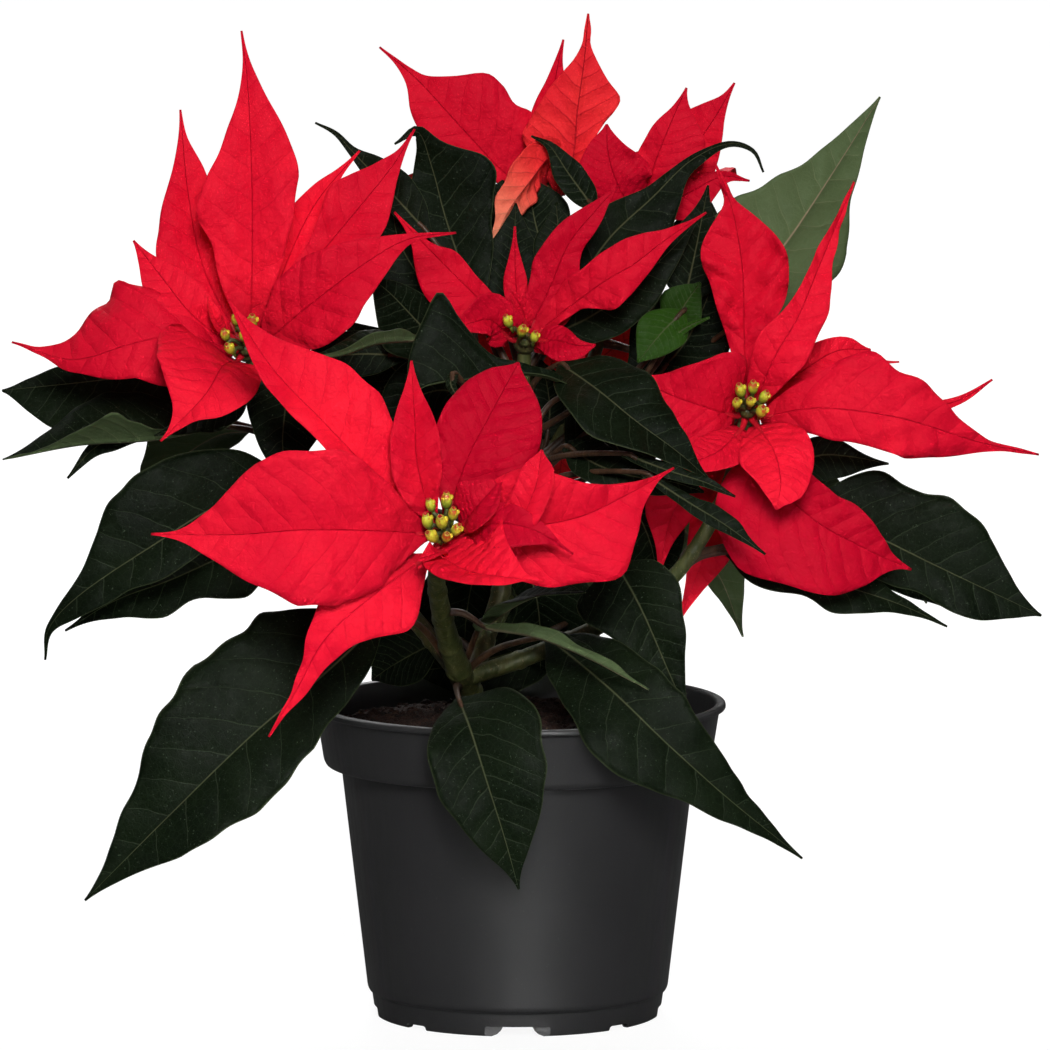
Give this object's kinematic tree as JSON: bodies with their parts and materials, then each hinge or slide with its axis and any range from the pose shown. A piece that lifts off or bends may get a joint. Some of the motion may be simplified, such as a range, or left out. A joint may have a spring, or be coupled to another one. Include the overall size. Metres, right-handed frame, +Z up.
{
  "type": "potted poinsettia",
  "caption": "Bushy poinsettia with red star-shaped blooms and dark green leaves, growing in a round tapered plastic nursery pot filled with peat.",
  "frame": {"origin": "on the ground, in the middle of the plant's footprint and within 2 mm of the pot's axis", "axes": "+Z up, -Y the front of the plant, +X to the right as seen from the front"},
  "size_m": [0.3348, 0.244, 0.3202],
  "materials": {
    "pot_plastic": "dark grey moulded polypropylene, satin",
    "peat": "moist crumbly dark brown peat",
    "foliage": "dark green leaves with pale veins, on green-brown stems, softly satin",
    "bract": "velvety scarlet bracts with fine veins",
    "cyathium": "yellow-green buds with red tips"
  },
  "bodies": {
    "root": {"pot": "pot_plastic", "soil": "peat", "stem_centre": "foliage", "stem_left": "foliage", "stem_right": "foliage", "bracts_left": "bract", "bracts_front": "bract", "bracts_right": "bract", "bracts_centre": "bract", "bracts_back_top": "bract", "bracts_back_right": "bract", "bracts_back": "bract", "cyathia_left": "cyathium", "cyathia_front": "cyathium", "cyathia_right": "cyathium", "cyathia_centre": "cyathium", "cyathia_back_top": "cyathium", "cyathia_back_right": "cyathium", "cyathia_back": "cyathium"}
  },
  "joints": []
}
